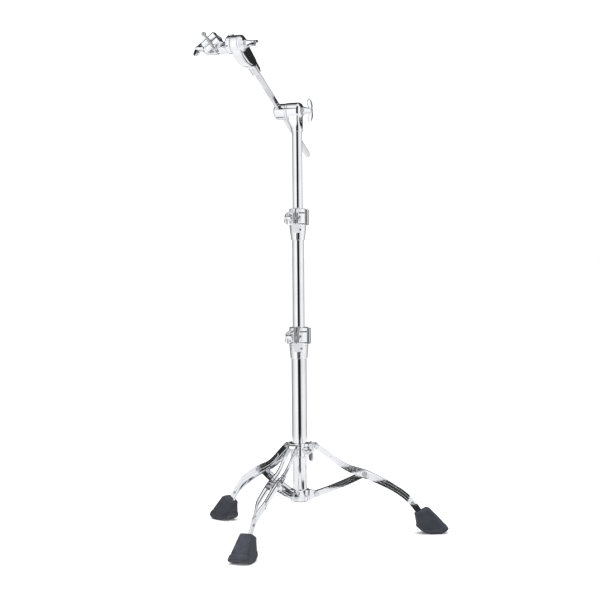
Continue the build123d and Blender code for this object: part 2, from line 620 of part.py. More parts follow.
def rod_cap():
    """Turned stop button screwed to the rod's rear end."""
    low = -ROD_BACK - ROD_STOP
    return BOOM_FRAME * (taper(3.2, 4.6, low, low + 1.2) + disc(4.6, low + 1.2, -ROD_BACK))


def head_socket():
    """Leaf-shaped casting: mouth round the rod, web with two lobes, and one ear of the knuckle."""
    mouth, ear = SOCKET_MOUTH, KNUCKLE_AT
    lower = [(-1.6, mouth + 5.5, 5.4), (2.4, mouth + 5.0, 5.0), (1.0, mouth + 30, 8.2)]
    upper = [
        (1.0, mouth + 28, 8.2), (-9.0, ear - 44, 7.6), (-12.5, ear - 26, 9.6), (-8.0, ear - 10, 14.0), (0, ear, 14.8),
        (2.5, ear - 24, 9.5),
    ]
    lower = hull_plate(lower, 15.6, Plane.YZ)
    upper = hull_plate(upper, 17.0, Plane.YZ)
    web = fillet(lower.edges(), 1.5) + fillet(upper.edges(), 1.5)
    rib = hull_plate([(-9.5, ear - 48, 1.8), (-13.0, ear - 36, 3.0), (-14.0, ear - 8, 3.4)], 20.0, Plane.YZ)
    rib = fillet(rib.edges(), 0.9)
    neck = disc(8.6, mouth, mouth + 22)
    cheek = [
        (EAR_LEFT, KNUCKLE_R - 0.6), (EAR_LEFT + 0.6, KNUCKLE_R), (KNUCKLE.X + 2.6, KNUCKLE_R),
        (KNUCKLE.X + 3.2, KNUCKLE_R - 0.7), (KNUCKLE.X + 3.8, KNUCKLE_R), (KNUCKLE.X + 7.0, KNUCKLE_R - 0.4),
        (KNUCKLE.X + 10.5, KNUCKLE_R - 4.0), (KNUCKLE.X + 12.6, KNUCKLE_R - 8.6),
    ]
    bore = hex_bar(ROD_FLATS + 2 * SEAT, mouth - 1, mouth + ROD_INSERT + 0.5)
    cast = BOOM_FRAME * (web + rib + neck - bore)
    cast += Pos(0, KNUCKLE.Y, KNUCKLE.Z) * x_turned(cheek)
    cast -= Pos(0, KNUCKLE.Y, KNUCKLE.Z) * x_disc(AXLE_R + RUNNING, EAR_LEFT - 5, EAR_RIGHT + 20)
    return cast - BOOM_FRAME * (Pos(0, 0, SOCKET_PIN_AT) * x_disc(SOCKET_PIN_R + SEAT, -20, 20))


def socket_pin():
    """Cross pin that fixes the socket on the rod."""
    return BOOM_FRAME * (Pos(0, 0, SOCKET_PIN_AT) * x_disc(SOCKET_PIN_R, -8.4, 8.4))


def save_boom():
    save("boom_rod", boom_rod())
    save("boom_rod_cap", rod_cap())
    save("head_socket", head_socket())
    save("socket_pin", socket_pin())


# ---------------------------------------------------------------- head
def at_knuckle(shape):
    """Place a shape drawn on the X axis onto the knuckle's axis."""
    return Pos(0, KNUCKLE.Y, KNUCKLE.Z) * shape


def at_swivel(shape):
    """Place a shape drawn on the X axis onto the swivel axis of the rod clamp."""
    return Pos(0, KNUCKLE.Y, KNUCKLE.Z - NECK_DROP) * shape


def head_arm():
    """The knuckle's other half, with the dropped neck that carries the rod clamp."""
    right, left = EAR_LEFT - 0.35, EAR_LEFT - 11.0
    rim = [(left, KNUCKLE_R - 2.4), (left + 2.4, KNUCKLE_R), (right - 0.6, KNUCKLE_R)]
    plate = at_knuckle(x_turned([*rim, (right, KNUCKLE_R - 0.6)]))
    neck = at_swivel(x_turned([(NECK_END, NECK_R - 1), (NECK_END + 1, NECK_R), (left + 3, NECK_R)]))
    lug = at_knuckle(Pos(left + 4.5, 4.0, KNUCKLE_R - 1) * Box(9.0, 7.0, 8.0))
    arm = plate + neck + fillet(lug.edges(), 1.5)
    arm -= at_knuckle(x_disc(AXLE_R + SEAT, left + 3, right + 5))
    return arm - at_swivel(x_disc(STUD_R + SEAT, NECK_END - 5, NECK_END + 12))


def knuckle_bolt():
    """Bolt fixed in the head arm, through the socket's ear to the knuckle's wing nut."""
    tip = KNUCKLE.X + 26.0
    return at_knuckle(x_turned([(EAR_LEFT - 7.8, AXLE_R), (tip - 1, AXLE_R), (tip, AXLE_R - 1)]))


def knuckle_wing():
    nut = wing_nut(6.2, 13.0, 40.0, 7.4, 4.2, AXLE_R + RUNNING)
    return at_knuckle(Pos(KNUCKLE.X + 13.0, 0, 0) * (Rot(0, 90, 0) * (Rot(0, 0, KNUCKLE_WING_TURN) * nut)))


def swivel_stud():
    tip = NECK_END - 44.5
    return at_swivel(x_turned([(tip, STUD_R - 1), (tip + 1, STUD_R), (NECK_END + 11.5, STUD_R)]))


def jaw_block(low, high):
    """One half of the rod clamp before its channel is cut, from low to high across the split."""
    half = Pos(0, (low + high) / 2, 0) * Box(2 * JAW_SIDE, high - low, 2 * JAW_HALF)
    return chamfer(half.edges().filter_by(Axis.Z), 2.2)


def fixed_jaw():
    """Hub on the swivel stud with the fixed half of the rod clamp in front of it."""
    hub = [(HUB_LEFT, 10.0), (HUB_LEFT + 2, 12.0), (HUB_RIGHT - 0.6, 12.0), (HUB_RIGHT, 11.4)]
    hub = at_swivel(x_turned(hub))
    jaw = jaw_block(-JAW_DEPTH, -JAW_SPLIT)
    bridge = Pos(6.0, -6.5, -3.0) * Box(14.0, 8.0, 2 * JAW_HALF - 10)
    knuckles = hinge_knuckle(-JAW_HALF, -JAW_HALF + JAW_EAR) + hinge_knuckle(JAW_HALF - JAW_EAR, JAW_HALF)
    body = hub + JAW_FRAME * (jaw + bridge + knuckles)
    body -= JAW_FRAME * (Pos(JAW_HINGE_X, 0, 0) * disc(4.4, -JAW_HALF + JAW_EAR, JAW_HALF - JAW_EAR))
    body -= JAW_FRAME * disc(CLAMPED_ROD_R, -40, 40)
    body -= at_swivel(x_disc(NECK_R + 0.6, NECK_END - 0.3, NECK_END + 30))
    body -= at_swivel(x_disc(STUD_R + RUNNING, HUB_LEFT - 5, HUB_RIGHT + 5))
    body -= JAW_FRAME * (Pos(JAW_HINGE_X, 0, 0) * disc(JAW_PIN_R + SEAT, -40, 40))
    return body - JAW_FRAME * jaw_bolt_slot()


def hinge_knuckle(low, high):
    return Pos(JAW_HINGE_X, 0, 0) * disc(3.6, low, high)


def jaw_bolt_slot():
    """Open slot at the front of both jaws for the jaw bolt."""
    return block(JAW_BOLT_X - 10, JAW_BOLT_X + 2.6, -40, 40, -2.8, 2.8)


def moving_jaw():
    """Hinged half of the rod clamp."""
    middle = JAW_HALF - JAW_EAR - 0.3
    relief = block(JAW_HINGE_X - 6.5, JAW_HINGE_X + 5, 5.2, JAW_DEPTH + 1, -40, 40)
    jaw = jaw_block(JAW_SPLIT, JAW_DEPTH) - relief
    jaw -= Pos(JAW_HINGE_X, 0, 0) * (disc(4.0, -40, -middle) + disc(4.0, middle, 40))
    jaw = (jaw + hinge_knuckle(-middle, middle)) - disc(CLAMPED_ROD_R, -40, 40) - jaw_bolt_slot()
    return JAW_FRAME * (jaw - Pos(JAW_HINGE_X, 0, 0) * disc(JAW_PIN_R + RUNNING, -40, 40))


def jaw_pin():
    return JAW_FRAME * (Pos(JAW_HINGE_X, 0, 0) * disc(JAW_PIN_R, -JAW_HALF - 0.6, JAW_HALF + 0.6))


def jaw_bolt():
    """Bolt across the jaws: ball head above the moving jaw, thread below the fixed jaw."""
    head = Pos(JAW_BOLT_X + 0.2, JAW_DEPTH + JAW_PLAY + JAW_BALL_R, 0) * Sphere(JAW_BALL_R)
    shank = Pos(JAW_BOLT_X + 0.2, 0, 0) * (Rot(90, 0, 0) * disc(JAW_BOLT_R, -JAW_DEPTH - 4, JAW_DEPTH + 13))
    return JAW_FRAME * (head + shank)


def jaw_wing():
    nut = wing_nut(4.4, 8.5, 22.0, 4.2, 2.8, JAW_BOLT_R + RUNNING)
    nut = Pos(JAW_BOLT_X + 0.2, -JAW_DEPTH - 0.3, 0) * (Rot(90, 0, 0) * nut)
    return JAW_FRAME * nut


def swivel_wing():
    nut = wing_nut(5.8, 14.5, 40.0, 7.4, 4.0, STUD_R + RUNNING)
    return at_swivel(Pos(HUB_LEFT - FACE_GAP, 0, 0) * (Rot(0, -90, 0) * (Rot(0, 0, SWIVEL_WING_TURN) * nut)))


def save_head():
    save("head_arm", head_arm())
    save("knuckle_bolt", knuckle_bolt())
    save("knuckle_wing_nut", knuckle_wing())
    save("swivel_stud", swivel_stud())
    save("rod_clamp_body", fixed_jaw())
    save("rod_clamp_jaw", moving_jaw())
    save("jaw_hinge_pin", jaw_pin())
    save("jaw_bolt", jaw_bolt())
    save("jaw_wing_nut", jaw_wing())
    save("swivel_wing_nut", swivel_wing())


# ---------------------------------------------------------------- build
os.makedirs("parts", exist_ok=True)
save_column()
save_clamp("lower", LOWER_CLAMP_Z, LOWER_CLAMP_R, LOWER_CLAMP_FOOT_R, BASE_R, MIDDLE_R)
save_clamp("upper", UPPER_CLAMP_Z, UPPER_CLAMP_R, UPPER_CLAMP_FOOT_R, MIDDLE_R, UPPER_R)
save_tripod()
save_tilter()
save_boom()
save_head()

# folding travel: the brace and the upper part of the leg keep their lengths
upper_leg = hypot(KNEE[0] - LEG_PIVOT[0], LEG_PIVOT[1] - KNEE[1])
brace = hypot(KNEE[0] - BRACE_PIVOT[0], KNEE[1] - BRACE_PIVOT[1])
leg_rest = degrees(acos((KNEE[0] - LEG_PIVOT[0]) / upper_leg))
brace_rest = degrees(acos((KNEE[0] - BRACE_PIVOT[0]) / brace))
brace_folded = degrees(acos(upper_leg * cos(radians(leg_rest + FOLD)) / brace))
slide = upper_leg * sin(radians(leg_rest + FOLD)) + brace * sin(radians(brace_folded))
slide -= LEG_PIVOT[1] - BRACE_PIVOT[1]
print(f"leg turns {FOLD:.2f}, brace turns {brace_folded - brace_rest:.3f} degrees")
print(f"collar rises {slide:.3f} mm")
print("knuckle", KNUCKLE, "channel", CHANNEL_CENTRE)
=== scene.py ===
import json
from math import cos, pi, radians, sin

import bmesh
import bpy
from mathutils import Matrix, Vector


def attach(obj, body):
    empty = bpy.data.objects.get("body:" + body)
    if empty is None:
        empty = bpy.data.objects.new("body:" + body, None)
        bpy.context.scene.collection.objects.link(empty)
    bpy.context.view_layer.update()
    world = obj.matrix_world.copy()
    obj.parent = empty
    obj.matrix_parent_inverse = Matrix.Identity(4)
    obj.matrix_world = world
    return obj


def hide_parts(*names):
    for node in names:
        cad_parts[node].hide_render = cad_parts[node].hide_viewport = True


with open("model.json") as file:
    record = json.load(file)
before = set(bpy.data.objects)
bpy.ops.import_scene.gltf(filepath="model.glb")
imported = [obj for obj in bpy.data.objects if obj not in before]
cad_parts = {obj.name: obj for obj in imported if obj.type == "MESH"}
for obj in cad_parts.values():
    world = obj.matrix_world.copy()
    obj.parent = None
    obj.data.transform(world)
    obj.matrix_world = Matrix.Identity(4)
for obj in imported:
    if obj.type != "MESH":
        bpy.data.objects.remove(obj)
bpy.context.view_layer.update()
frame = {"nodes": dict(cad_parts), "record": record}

# Looks of a cymbal boom stand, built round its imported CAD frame.
# Metres, +Z up, origin on the floor under the column, leg 1 and the boom along -Y.

NODES = frame["nodes"]
RECORD = frame["record"]
BODY_OF = {node: body for body, members in RECORD["behaviour"]["bodies"].items() for node in members}
SLOT_OF = {entry["node"]: entry["material_slot"] for entry in RECORD["subparts"]}
MM = 0.001

# ---------------------------------------------------------------- camera values
# where the camera stands round the column, and how far it looks down, leans, and aims off the column
VIEW_AZIMUTH = radians(23.0)
VIEW_DISTANCE = 3.0
VIEW_HEIGHT = 0.563
VIEW_PITCH = radians(2.055)
VIEW_ROLL = radians(-0.5)
VIEW_AIM = radians(0.055)
LENS, SENSOR = 94.3, 36.0


# ---------------------------------------------------------------- node helpers
def add_node(tree, kind, inputs=None, **settings):
    """A shader node with its settings, and its inputs given as values or as other nodes' sockets."""
    node = tree.nodes.new(kind)
    for name, value in settings.items():
        setattr(node, name, value)
    for name, value in (inputs or {}).items():
        if isinstance(value, bpy.types.NodeSocket):
            tree.links.new(value, node.inputs[name])
        else:
            node.inputs[name].default_value = value
    return node


def noise(tree, scale, detail=3.0, rough=0.5, stretch=None):
    """Noise value over the piece's own coordinates, stretched where a direction is given."""
    place = add_node(tree, "ShaderNodeTexCoord").outputs["Object"]
    if stretch:
        place = add_node(tree, "ShaderNodeMapping", {"Vector": place, "Scale": stretch}).outputs["Vector"]
    settings = {"Vector": place, "Scale": scale, "Detail": detail, "Roughness": rough}
    return add_node(tree, "ShaderNodeTexNoise", settings).outputs["Fac"]


def remap(tree, value, low, high, new_low, new_high):
    """Value carried from one range to another, and held at its ends."""
    settings = {"Value": value, "From Min": low, "From Max": high, "To Min": new_low, "To Max": new_high}
    return add_node(tree, "ShaderNodeMapRange", settings, clamp=True).outputs["Result"]


def mix_colour(tree, factor, first, second):
    """Colour between two, each given as a value or as a socket."""
    node = add_node(tree, "ShaderNodeMix", data_type="RGBA")
    for name, value in ((0, factor), (6, first), (7, second)):
        if isinstance(value, bpy.types.NodeSocket):
            tree.links.new(value, node.inputs[name])
        else:
            node.inputs[name].default_value = value
    return node.outputs[2]


def math(tree, operation, first, second):
    """Result of one sum on two values or sockets."""
    node = add_node(tree, "ShaderNodeMath", operation=operation)
    for index, value in enumerate((first, second)):
        if isinstance(value, bpy.types.NodeSocket):
            tree.links.new(value, node.inputs[index])
        else:
            node.inputs[index].default_value = value
    return node.outputs["Value"]


def new_material(name):
    """A material with its node tree and its shader."""
    material = bpy.data.materials.new(name)
    material.use_nodes = True
    tree = material.node_tree
    return material, tree, tree.nodes["Principled BSDF"]


def rgba(red, green, blue):
    return (red, green, blue, 1.0)


def bump(tree, height, strength, distance, normal=None):
    """Shading normal disturbed by a height, on top of another normal where one is given."""
    inputs = {"Height": height, "Strength": strength, "Distance": distance}
    if normal is not None:
        inputs["Normal"] = normal
    return add_node(tree, "ShaderNodeBump", inputs).outputs["Normal"]


def soft_edges(tree, radius):
    """Shading normal with every sharp edge rounded by a small radius."""
    return add_node(tree, "ShaderNodeBevel", {"Radius": radius}, samples=4).outputs["Normal"]


# ---------------------------------------------------------------- materials
SCRATCH_ROUGHNESS = 0.02


def metal(name, light, dark, polish, waviness, wave_scale, scratch_stretch, edge=None):
    """Plated metal: tint drift, haze and fine scratches in the gloss, and the waviness of its making."""
    material, tree, shader = new_material(name)
    haze = noise(tree, 26.0, detail=4.0, rough=0.6)
    scratches = noise(tree, 520.0, detail=2.0, rough=0.7, stretch=scratch_stretch)
    fine = remap(tree, scratches, 0.56, 0.74, 0.0, 1.0)
    tint = mix_colour(tree, remap(tree, haze, 0.35, 0.68, 0.0, 1.0), rgba(*light), rgba(*dark))
    tree.links.new(tint, shader.inputs["Base Color"])
    polished = remap(tree, haze, 0.3, 0.75, *polish)
    gloss = math(tree, "ADD", polished, math(tree, "MULTIPLY", fine, SCRATCH_ROUGHNESS))
    tree.links.new(gloss, shader.inputs["Roughness"])
    shader.inputs["Metallic"].default_value = 1.0
    rounded = soft_edges(tree, edge) if edge else None
    waves = bump(tree, noise(tree, wave_scale, detail=1.5), waviness, 0.001, rounded)
    lines = bump(tree, fine, 0.04, 0.0001, waves)
    tree.links.new(lines, shader.inputs["Normal"])
    return material


def rubber():
    """Moulded rubber: blue-black in soft blotches, with a fine grain, and dust where it faces up."""
    material, tree, shader = new_material("rubber_moulded")
    blotch = noise(tree, 60.0, detail=5.0, rough=0.65)
    grain = noise(tree, 1500.0, detail=2.0, rough=0.6)
    normal = add_node(tree, "ShaderNodeNewGeometry").outputs["Normal"]
    upward = add_node(tree, "ShaderNodeSeparateXYZ", {"Vector": normal}).outputs["Z"]
    settled = remap(tree, upward, 0.1, 0.9, 0.0, 0.45)
    dust = math(tree, "MULTIPLY", settled, remap(tree, blotch, 0.35, 0.7, 0.3, 1.0))
    clouds = remap(tree, blotch, 0.3, 0.7, 0.0, 1.0)
    base = mix_colour(tree, clouds, rgba(0.017, 0.019, 0.028), rgba(0.030, 0.033, 0.046))
    tree.links.new(mix_colour(tree, dust, base, rgba(0.10, 0.105, 0.135)), shader.inputs["Base Color"])
    tree.links.new(remap(tree, grain, 0.3, 0.7, 0.5, 0.72), shader.inputs["Roughness"])
    shader.inputs["Specular IOR Level"].default_value = 0.42
    uneven = bump(tree, blotch, 0.15, 0.0008, soft_edges(tree, 0.0009))
    tree.links.new(bump(tree, grain, 0.22, 0.0004, uneven), shader.inputs["Normal"])
    return material


def nylon():
    """Turned nylon: satin, near black, with faint turning marks round the column."""
    material, tree, shader = new_material("nylon_turned")
    rings = noise(tree, 900.0, detail=1.0, stretch=(0.05, 0.05, 1.0))
    cloud = noise(tree, 90.0, detail=3.0)
    base = mix_colour(tree, cloud, rgba(0.014, 0.014, 0.016), rgba(0.034, 0.034, 0.037))
    tree.links.new(base, shader.inputs["Base Color"])
    tree.links.new(remap(tree, rings, 0.35, 0.65, 0.28, 0.46), shader.inputs["Roughness"])
    tree.links.new(bump(tree, rings, 0.12, 0.0002), shader.inputs["Normal"])
    return material


# how far scratches are drawn out along each axis: a smaller value is a longer scratch
EVEN = (1.0, 1.0, 1.0)
ALONG_COLUMN = (1.0, 1.0, 0.03)
ALONG_ROD = (1.0, 1.0, 0.1)
# light and dark tint, least and most roughness, waviness and its scale, scratches, and edge radius (m)
METALS = {
    "tube_chrome": ((0.90, 0.91, 0.93), (0.84, 0.85, 0.88), (0.025, 0.06), 0.02, 40.0, ALONG_COLUMN),
    "cast_chrome": ((0.94, 0.95, 0.97), (0.86, 0.87, 0.90), (0.04, 0.08), 0.04, 110.0, EVEN, 0.0008),
    "strip_chrome": ((0.89, 0.90, 0.92), (0.82, 0.83, 0.86), (0.015, 0.035), 0.004, 60.0, EVEN, 0.0005),
    "wing_chrome": ((0.94, 0.95, 0.97), (0.86, 0.87, 0.90), (0.04, 0.08), 0.04, 130.0, EVEN, 0.0008),
    "bolt_chrome": ((0.84, 0.85, 0.87), (0.74, 0.75, 0.78), (0.07, 0.14), 0.06, 200.0, EVEN, 0.0003),
    "rod_steel": ((0.84, 0.85, 0.87), (0.74, 0.75, 0.78), (0.08, 0.16), 0.05, 160.0, ALONG_ROD, 0.0003),
    "zinc_steel": ((0.66, 0.67, 0.70), (0.52, 0.53, 0.55), (0.18, 0.32), 0.12, 400.0, EVEN, 0.0003),
}
MATERIALS = {name: metal(name, *look) for name, look in METALS.items()}
MATERIALS["rubber"] = rubber()
MATERIALS["nylon"] = nylon()


def dress_cad_nodes():
    """Give every CAD node the material of its slot."""
    for node, piece in NODES.items():
        piece.data.materials.clear()
        piece.data.materials.append(MATERIALS[SLOT_OF[node]])


# ---------------------------------------------------------------- rubber feet
# millimetres along the leg and up: heel and toe corners of the sole and of the mouth
SOLE_HEEL, SOLE_TOE = (228.8, 11.5), (286.6, 9.5)
MOUTH_HEEL, MOUTH_TOE = (223.6, 39.0), (248.5, 50.4)
# half widths at heel and toe, and corner radii
SOLE_HALF, MOUTH_HALF = (15.4, 20.0), (10.4, 11.6)
SOLE_CORNER, MOUTH_CORNER = 6.0, 3.4
LEAST_CORNER = 1.2
# fullness of the walls, and how far the sole bulges down between heel and toe
TOE_SWELL, SIDE_SWELL, HEEL_SWELL, ROCKER = 2.4, 0.8, 0.3, 10.6
# share of the way up where the bulge starts to fade, and over how much it does
BULGE_FROM, BULGE_OVER = 0.2, 0.75
# share of the way up from sole to mouth, and how far the wall stands proud there
FOOT_LEVELS = (
    (0.000, -5.5), (0.000, -2.5), (0.000, -0.6), (0.006, 0.5), (0.030, 1.2), (0.100, 1.35), (0.185, 1.25),
    (0.205, 0.9), (0.213, -0.1), (0.225, -0.3), (0.245, -0.1), (0.28, 0.1), (0.38, 0.1), (0.50, 0.0),
    (0.62, 0.0), (0.74, 0.0), (0.84, 0.1), (0.90, 0.45), (0.95, 0.45), (0.985, 0.1), (1.0, -0.7),
    (1.0, -2.0), (0.99, -2.6), (0.985, -4.5), (0.99, -6.0),
)
CORNER_STEPS, EDGE_STEPS = 5, 7


def between(first, second, share):
    """Point part of the way from one point to another."""
    return tuple(a + (b - a) * share for a, b in zip(first, second))


def foot_outline(heel, toe, half_heel, half_toe, corner):
    """Outline seen from above as (x, y): four rounded corners joined by slightly full faces."""
    corners = (
        (toe - corner, half_toe - corner), (heel + corner, half_heel - corner),
        (heel + corner, corner - half_heel), (toe - corner, corner - half_toe),
    )
    faces = (
        ((0, 1), SIDE_SWELL), ((-1, 0), HEEL_SWELL), ((0, -1), SIDE_SWELL), ((1, 0), TOE_SWELL * 0.4),
    )
    points = []
    for index, (x, y) in enumerate(corners):
        for step in range(CORNER_STEPS + 1):
            turn = radians(90.0 * (index + step / CORNER_STEPS))
            points.append((x + corner * cos(turn), y + corner * sin(turn)))
        next_x, next_y = corners[(index + 1) % 4]
        turn = radians(90.0 * (index + 1))
        start, finish = points[-1], (next_x + corner * cos(turn), next_y + corner * sin(turn))
        outward, swell = faces[index]
        for step in range(1, EDGE_STEPS):
            share = step / EDGE_STEPS
            full = swell * 4 * share * (1 - share)
            px, py = between(start, finish, share)
            points.append((px + outward[0] * full, py + outward[1] * full))
    return points


def foot_ring(share, proud):
    """One loop of the boot's wall: a tilted outline that dips in the middle near the sole."""
    heel_x, heel_z = between(SOLE_HEEL, MOUTH_HEEL, share)
    toe_x, toe_z = between(SOLE_TOE, MOUTH_TOE, share)
    toe_x += TOE_SWELL * 4 * share * (1 - share)
    half_heel, half_toe = between(SOLE_HALF, MOUTH_HALF, share)
    corner = max(SOLE_CORNER + (MOUTH_CORNER - SOLE_CORNER) * share + proud, LEAST_CORNER)
    fade = min(max((share - BULGE_FROM) / BULGE_OVER, 0.0), 1.0)
    dip = ROCKER * (1 - fade * fade * (3 - 2 * fade))
    ring = []
    for x, y in foot_outline(heel_x - proud, toe_x + proud, half_heel + proud, half_toe + proud, corner):
        along = (x - heel_x) / (toe_x - heel_x)
        bend = 1 - abs(2 * min(max(along, 0.0), 1.0) - 1) ** 3
        ring.append((x, y, heel_z + (toe_z - heel_z) * along - dip * bend))
    return ring


def leg_bearing(index):
    """Bearing of a leg about +Z, in radians from +X."""
    return radians(-90.0 + 120.0 * (index - 1))


def loft_mesh(name, rings, capped=True):
    """Skin through equal loops of points, with both ends capped or left to meet each other."""
    mesh = bpy.data.meshes.new(name)
    shape = bmesh.new()
    loops = [[shape.verts.new(point) for point in ring] for ring in rings]
    count = len(loops[0])
    for low, high in zip(loops, loops[1:]):
        for i in range(count):
            shape.faces.new((low[i], low[(i + 1) % count], high[(i + 1) % count], high[i]))
    for loop in (loops[0], loops[-1]) if capped else ():
        middle = shape.verts.new(sum((v.co for v in loop), Vector()) / count)
        for i in range(count):
            shape.faces.new((loop[i], loop[(i + 1) % count], middle))
    if not capped:
        bmesh.ops.remove_doubles(shape, verts=shape.verts, dist=1e-6)
    bmesh.ops.recalc_face_normals(shape, faces=shape.faces)
    for face in shape.faces:
        face.smooth = True
    shape.to_mesh(mesh)
    shape.free()
    return mesh


def apply_modifiers(piece):
    """Bake every modifier of a piece into its mesh."""
    graph = bpy.context.evaluated_depsgraph_get()
    baked = bpy.data.meshes.new_from_object(piece.evaluated_get(graph))
    piece.modifiers.clear()
    piece.data = baked


def add_piece(name, mesh, node, body):
    """A visible piece that stands for a CAD node and moves with its body."""
    piece = bpy.data.objects.new(name, mesh)
    bpy.context.scene.collection.objects.link(piece)
    mesh.materials.append(MATERIALS[SLOT_OF[node]])
    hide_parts(node)
    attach(piece, body)
    return piece


def rubber_foot(index):
    """Moulded boot on the end of a leg: flared toe, rocker sole with a proud band, rim round the leg."""
    turn = Matrix.Rotation(leg_bearing(index), 4, "Z") @ Matrix.Scale(MM, 4)
    rings = [[turn @ Vector(point) for point in foot_ring(share, proud)] for share, proud in FOOT_LEVELS]
    node = f"leg_{index}_foot"
    foot = add_piece(f"boot_{index}", loft_mesh(f"boot_{index}", rings), node, BODY_OF[node])
    smooth = foot.modifiers.new("smooth", "SUBSURF")
    smooth.levels = smooth.render_levels = 1
    apply_modifiers(foot)


# ---------------------------------------------------------------- cast wing nuts
# node, and where the nut's foot is (mm)
# degrees: turn about Z, turn that lays the nut's axis down, turn about that axis
# millimetres: hub radius, hub height, span, wing thickness, bore radius
WING_NUTS = {
    "wing_tilter": (
        "tilter_wing_nut", (14.1, 0.0, 815.0), (0.0, 90.0, 6.0), (6.4, 16.5, 46.0, 3.4, 4.2),
    ),
    "wing_knuckle": (
        "knuckle_wing_nut", (-20.0, -186.195, 922.5), (0.0, 90.0, -70.0), (6.8, 17.5, 44.0, 4.4, 4.2),
    ),
    "wing_swivel": (
        "swivel_wing_nut", (-99.25, -186.195, 918.0), (0.0, -90.0, 50.0), (6.4, 18.0, 46.0, 4.4, 3.7),
    ),
    "wing_lower": (
        "lower_clamp_wing_nut", (-1.012, -27.564, 384.8), (14.0, -90.0, 38.0), (5.4, 11.5, 31.0, 3.4, 3.15),
    ),
    "wing_upper": (
        "upper_clamp_wing_nut", (-1.496, -25.623, 610.8), (14.0, -90.0, 38.0), (5.4, 11.5, 31.0, 3.4, 3.15),
    ),
}
# height of the outer edge above the hub, and how far it falls towards the tips (mm)
CREST_RISE, CREST_FALL = 3.2, 4.6
# depth of a wing as shares of the hub's height: at the root, swelling in the middle, loss at the tip
ROOT_DEPTH, SWELL_DEPTH, TIP_LOSS = 0.52, 0.20, 0.025
# where along the wing its rounded tip starts, and what is left of depth and thickness at the end
TIP_FROM, TIP_LEFT, THIN_LEFT = 0.62, 0.12, 0.35
# how far from the bore a wing starts, and half its least depth (mm)
ROOT_GAP, LEAST_HALF = 0.5, 0.5
# steps along a wing, points round a wing, and points round the hub
WING_STATIONS, WING_RING, HUB_RING = 12, 20, 40
# voxel (m) that melts hub and wings into one casting, and the passes that soften it
CAST_GRAIN, SOFTEN_PASSES = 0.00042, 6


def hub_loops(hub_r, hub_h, bore_r):
    """Loops round a nut's axis, from its foot up the outside, over the crown and down the bore."""
    flange, crown = hub_r + 1.4, hub_h + 1.2
    profile = (
        (bore_r, 0.0), (flange, 0.0), (flange, 1.4), (hub_r + 0.2, 2.6), (hub_r * 0.86, hub_h * 0.6),
        (hub_r * 0.84, hub_h), (hub_r * 0.76, crown), (bore_r, crown), (bore_r, 0.0),
    )
    return [
        [(r * cos(2 * pi * i / HUB_RING), r * sin(2 * pi * i / HUB_RING), z) for i in range(HUB_RING)]
        for r, z in profile
    ]


def wing_loops(side, hub_r, hub_h, span, thick, bore_r):
    """Loops along one wing: a crescent whose outer edge sweeps over the hub in one curve."""
    loops = []
    start = bore_r + ROOT_GAP
    for station in range(WING_STATIONS + 1):
        share = sin(pi / 2 * station / WING_STATIONS)
        x = start + (span / 2 - start) * share
        crest = hub_h + CREST_RISE - CREST_FALL * share * share
        swell = SWELL_DEPTH * sin(pi * min(share * 1.12, 1.0))
        depth = hub_h * (ROOT_DEPTH + swell - TIP_LOSS * share)
        into_tip = max(share - TIP_FROM, 0.0) / (1 - TIP_FROM)
        round_off = (1 - into_tip * into_tip) ** 0.5 if share < 1 else TIP_LEFT
        half = max(depth / 2 * round_off, LEAST_HALF)
        middle = crest - depth / 2
        wide = thick / 2 * (1.25 - 0.4 * share) * max(round_off, THIN_LEFT)
        loop = []
        for i in range(WING_RING):
            turn = 2 * pi * i / WING_RING
            loop.append((side * x, wide * cos(turn), middle + half * sin(turn)))
        loops.append(loop)
    return loops


def join_meshes(name, meshes):
    """One mesh made of several closed skins."""
    shape = bmesh.new()
    for mesh in meshes:
        shape.from_mesh(mesh)
        bpy.data.meshes.remove(mesh)
    joined = bpy.data.meshes.new(name)
    shape.to_mesh(joined)
    shape.free()
    return joined


def cast_wing_nut(name):
    """Wing nut whose two wings grow out of the hub without a break."""
    node, foot, (swing, lay, turn), (hub_r, hub_h, span, thick, bore_r) = WING_NUTS[name]
    skins = [loft_mesh(name, hub_loops(hub_r, hub_h, bore_r), capped=False)]
    for side in (1, -1):
        skins.append(loft_mesh(name, wing_loops(side, hub_r, hub_h, span, thick, bore_r)))
    mesh = join_meshes(name, skins)
    place = Matrix.Translation(Vector(foot) * MM) @ Matrix.Rotation(radians(swing), 4, "Z")
    laid = place @ Matrix.Rotation(radians(lay), 4, "Y") @ Matrix.Rotation(radians(turn), 4, "Z")
    mesh.transform(laid @ Matrix.Scale(MM, 4))
    nut = add_piece(name, mesh, node, BODY_OF[node])
    melt = nut.modifiers.new("melt", "REMESH")
    melt.mode, melt.voxel_size, melt.use_smooth_shade = "VOXEL", CAST_GRAIN, True
    soften = nut.modifiers.new("soften", "SMOOTH")
    soften.factor, soften.iterations = 0.5, SOFTEN_PASSES
    apply_modifiers(nut)


# ---------------------------------------------------------------- studio
FLOOR_R = 60.0
# radius and height of the floor that reflections see, a glowing disc of painted reflection, and where on it
# the walls' shading takes over
REFLECTED_FLOOR_R, REFLECTED_FLOOR_HEIGHT = 7.0, 0.0008
WALLS_TAKE_OVER = (1.48, 1.60)
# metres from the column, and how bright the reflected floor is there: darker near the column with painted
# shadow of the stand
FLOOR_SHADES = ((0.0, 0.60), (0.40, 0.82), (1.0, 0.88))
# brightness of the reflected floor, of the reflected walls, and of the world that lights everything else
FLOOR_GLOW, WALL_GLOW, WORLD_GLOW = 1.15, 1.18, 1.18
# bearing of the dark gap's middle, about Z
GAP_BEARING = VIEW_AZIMUTH - pi / 2 + radians(2.5)
# brightness opposite the gap, behind the stand
WALL_BEHIND = 0.10
